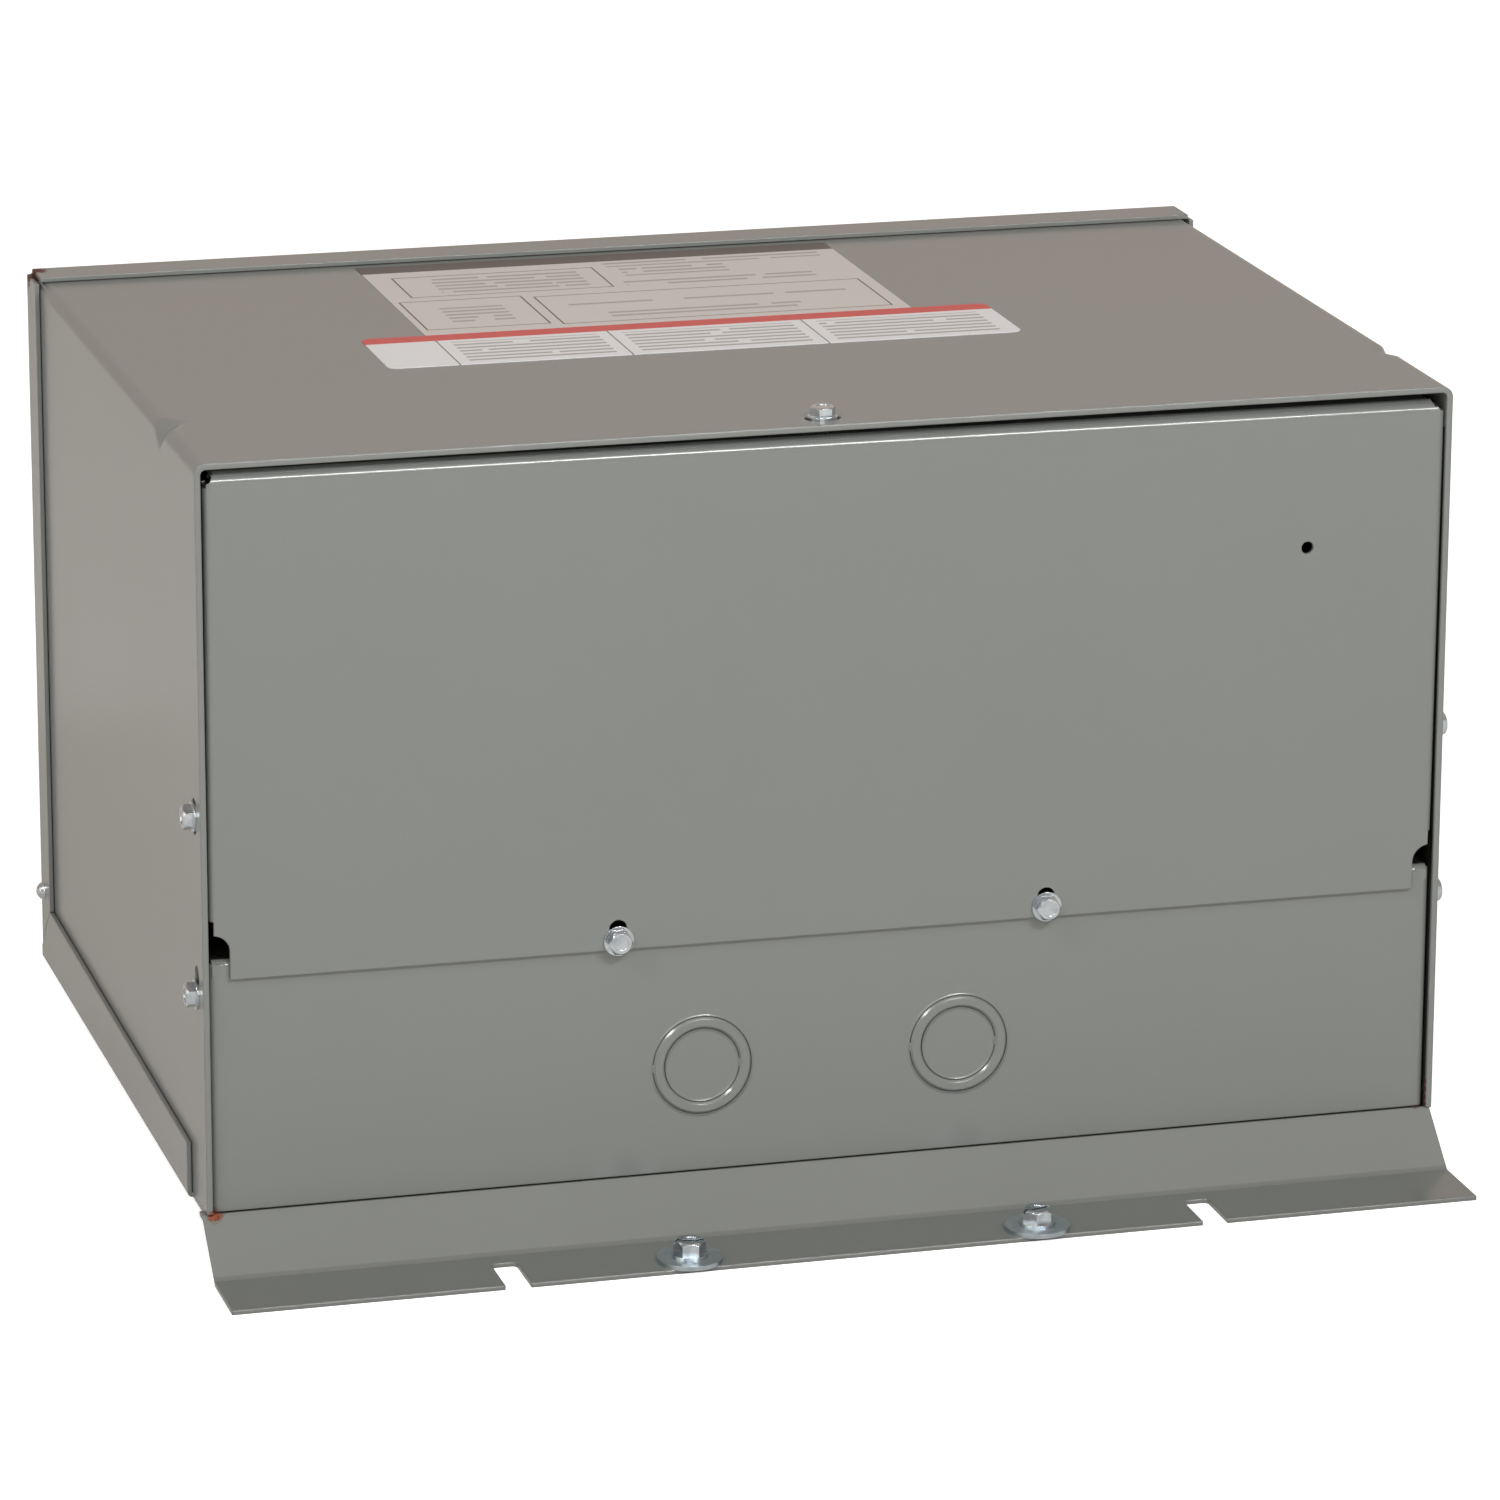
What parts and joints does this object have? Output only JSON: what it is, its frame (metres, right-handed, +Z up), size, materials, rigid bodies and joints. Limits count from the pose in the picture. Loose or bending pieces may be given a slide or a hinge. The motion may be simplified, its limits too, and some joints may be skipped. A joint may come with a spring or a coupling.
{
  "type": "encapsulated transformer",
  "caption": "Resin-filled dry-type transformer in a folded sheet-steel case, with a screwed wiring cover, round knockouts and slotted mounting feet.",
  "frame": {"origin": "on the floor, midway between the outer edges of the two feet and between the two sides of the case", "axes": "+X to the right along the width, +Y to the rear and -Y out of the wiring end with the cover and the knockouts, +Z up from the floor, the part lying on its wall side"},
  "size_m": [0.3696, 0.3306, 0.2337],
  "materials": {
    "case_paint": "satin grey baked enamel, lightly worn",
    "zinc_steel": "zinc-plated",
    "barrier_board": "pressed insulating board",
    "resin": "cast resin with mineral filler",
    "core_steel": "stacked electrical steel, oxide-coated",
    "stand_steel": "bare folded strip",
    "coil_tube": "wound kraft tube",
    "copper_wire": "enamelled copper wire, wound",
    "insulation_paper": "kraft insulation paper",
    "lead_sleeve": "satin black insulation",
    "data_label": "satin silver-grey film, blank fields",
    "striped_label": "satin white film, blank fields and a plain stripe"
  },
  "bodies": {
    "root": {"wrapper": "case_paint", "rear_cap": "case_paint", "base_tray": "case_paint", "front_cover": "case_paint", "knockout_panel": "case_paint", "barrier_board": "barrier_board", "resin_fill": "resin", "core_main": "core_steel", "core_stand_main": "stand_steel", "coil_tube_main": "coil_tube", "primary_winding_main": "copper_wire", "layer_insulation_main": "insulation_paper", "secondary_winding_main": "copper_wire", "coil_wrap_main": "insulation_paper", "core_teaser": "core_steel", "core_stand_teaser": "stand_steel", "coil_tube_teaser": "coil_tube", "primary_winding_teaser": "copper_wire", "layer_insulation_teaser": "insulation_paper", "secondary_winding_teaser": "copper_wire", "coil_wrap_teaser": "insulation_paper", "primary_lead_1": "lead_sleeve", "primary_lead_2": "lead_sleeve", "primary_lead_3": "lead_sleeve", "secondary_lead_1": "lead_sleeve", "secondary_lead_2": "lead_sleeve", "secondary_lead_3": "lead_sleeve", "neutral_lead": "lead_sleeve", "lead_strands": "copper_wire", "cover_screw_left": "zinc_steel", "cover_screw_right": "zinc_steel", "top_screw": "zinc_steel", "side_screw_left_upper": "zinc_steel", "side_screw_left_lower": "zinc_steel", "side_screw_right_upper": "zinc_steel", "side_screw_right_lower": "zinc_steel", "foot_screw_left": "zinc_steel", "foot_screw_right": "zinc_steel", "foot_washer_left": "zinc_steel", "foot_washer_right": "zinc_steel", "cap_screw_left": "zinc_steel", "cap_screw_right": "zinc_steel", "ground_screw": "zinc_steel", "ground_lug": "zinc_steel", "data_label": "data_label", "striped_label": "striped_label"}
  },
  "joints": []
}
